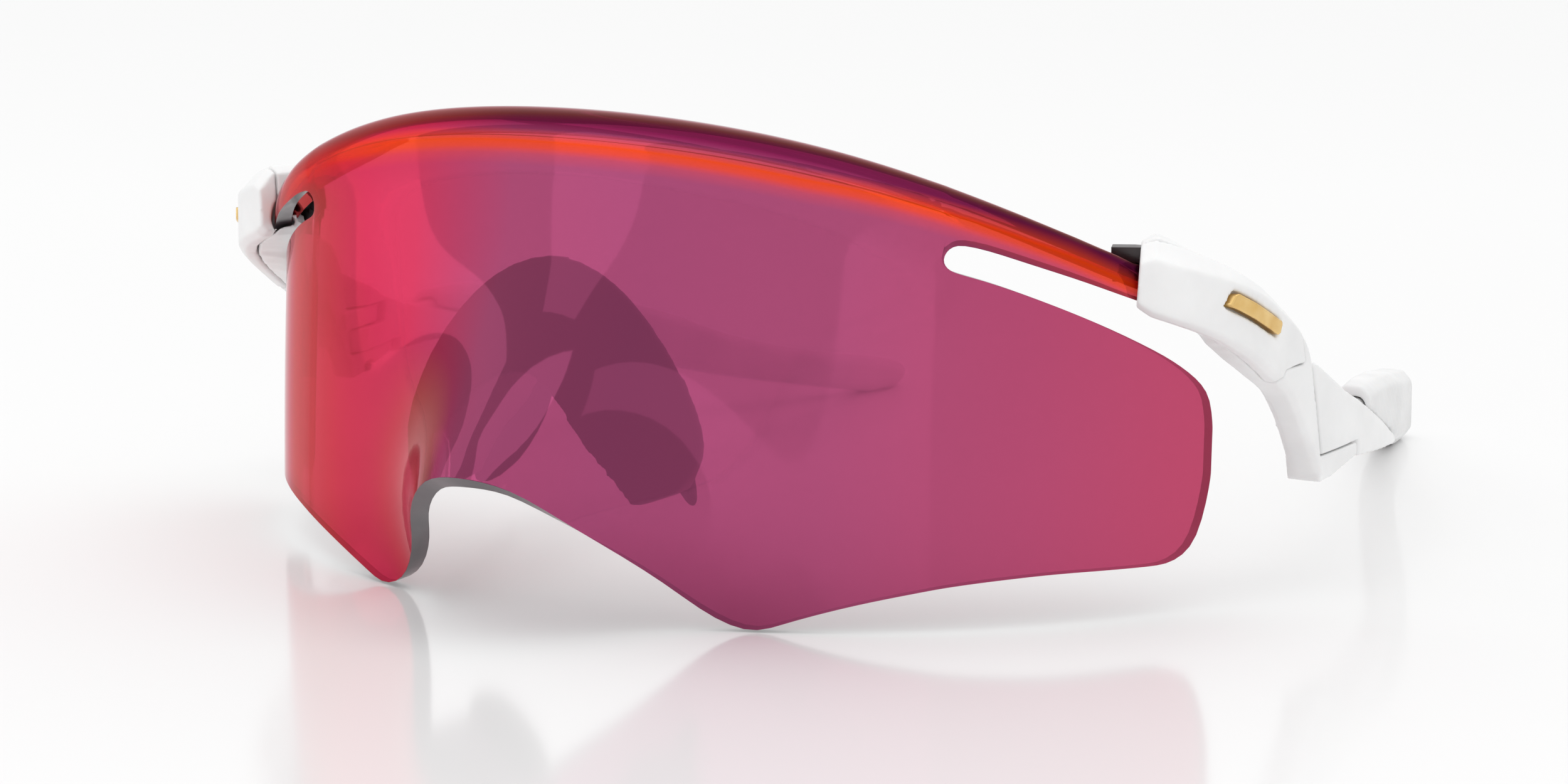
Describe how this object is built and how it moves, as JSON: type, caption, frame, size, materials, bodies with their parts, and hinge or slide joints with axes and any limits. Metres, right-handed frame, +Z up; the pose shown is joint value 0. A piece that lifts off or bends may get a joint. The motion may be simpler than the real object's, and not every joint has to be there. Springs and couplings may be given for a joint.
{
  "type": "wraparound sport sunglasses",
  "caption": "Wraparound shield sunglasses: one slotted mirror lens, side blocks with plain trim bars, folding arms with rubber ear socks and a soft nose unit.",
  "frame": {"origin": "on the supporting surface, under the middle of the object's box, with the arms open", "axes": "+X to the wearer's left, +Y back along the arms, +Z up"},
  "size_m": [0.1358, 0.1622, 0.0547],
  "materials": {
    "mirror_lens": "polished polycarbonate with a red-magenta mirror coating",
    "dark_nylon": "dark moulded nylon, satin",
    "pad_rubber": "soft matte rubber",
    "white_nylon": "white moulded nylon, satin gloss",
    "sock_rubber": "white matte rubber with fine contour ridges",
    "gold_badge": "polished gold-coloured metal",
    "screw_steel": "turned steel"
  },
  "bodies": {
    "front": {"lens_shield": "mirror_lens", "nose_bridge": "dark_nylon", "nose_pad_left": "pad_rubber", "nose_pad_right": "pad_rubber", "temple_block_left": "white_nylon", "temple_block_right": "white_nylon", "block_cover_left": "white_nylon", "block_cover_right": "white_nylon", "side_badge_left": "gold_badge", "side_badge_right": "gold_badge", "lens_anchor_left": "dark_nylon", "lens_anchor_right": "dark_nylon", "anchor_screw_upper_left": "screw_steel", "anchor_screw_lower_left": "screw_steel", "anchor_screw_upper_right": "screw_steel", "anchor_screw_lower_right": "screw_steel", "hinge_screw_left": "screw_steel", "hinge_screw_right": "screw_steel"},
    "arm_left": {"temple_arm_left": "white_nylon", "ear_sock_left": "sock_rubber"},
    "arm_right": {"temple_arm_right": "white_nylon", "ear_sock_right": "sock_rubber"}
  },
  "joints": [
    {"name": "fold_left", "type": "hinge", "parent": "front", "child": "arm_left", "pos_m": [0.0646, -0.00638, 0.019], "axis": [0, 0, 1], "range_deg": [0, 80]},
    {"name": "fold_right", "type": "hinge", "parent": "front", "child": "arm_right", "pos_m": [-0.0646, -0.00638, 0.019], "axis": [0, 0, -1], "range_deg": [0, 68]}
  ]
}
